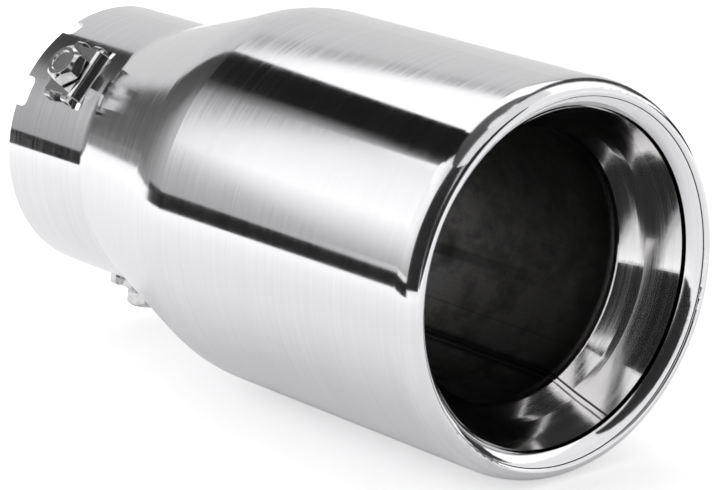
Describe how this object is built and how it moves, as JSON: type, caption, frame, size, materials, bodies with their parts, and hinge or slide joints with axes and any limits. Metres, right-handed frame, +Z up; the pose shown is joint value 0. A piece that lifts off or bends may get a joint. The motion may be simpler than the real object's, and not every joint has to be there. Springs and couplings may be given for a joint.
{
  "type": "exhaust tip",
  "caption": "Round double-walled exhaust tip: spun polished shell with a flared neck, rolled lip, bell-mouthed inner tube and bolted inlet clamps.",
  "frame": {"origin": "centre of the inlet opening, in the plane of the neck's rear end", "axes": "+X along the tube from the inlet to the mouth, +Z up, level as in use on a tailpipe, with the clamps turned as in the picture"},
  "size_m": [0.1864, 0.1016, 0.1016],
  "materials": {
    "polished_shell": "mirror polished with fine turning lines",
    "tube_steel": "polished bell mouth, dull rolled steel deeper in",
    "bracket_steel": "smooth pressed steel",
    "bolt_steel": "bright forged bolt"
  },
  "bodies": {
    "root": {"outer_shell": "polished_shell", "inner_tube": "tube_steel", "top_clamp_bracket": "bracket_steel", "bottom_clamp_bracket": "bracket_steel", "far_clamp_bracket": "bracket_steel", "top_clamp_bolt": "bolt_steel", "bottom_clamp_bolt": "bolt_steel", "far_clamp_bolt": "bolt_steel"}
  },
  "joints": []
}
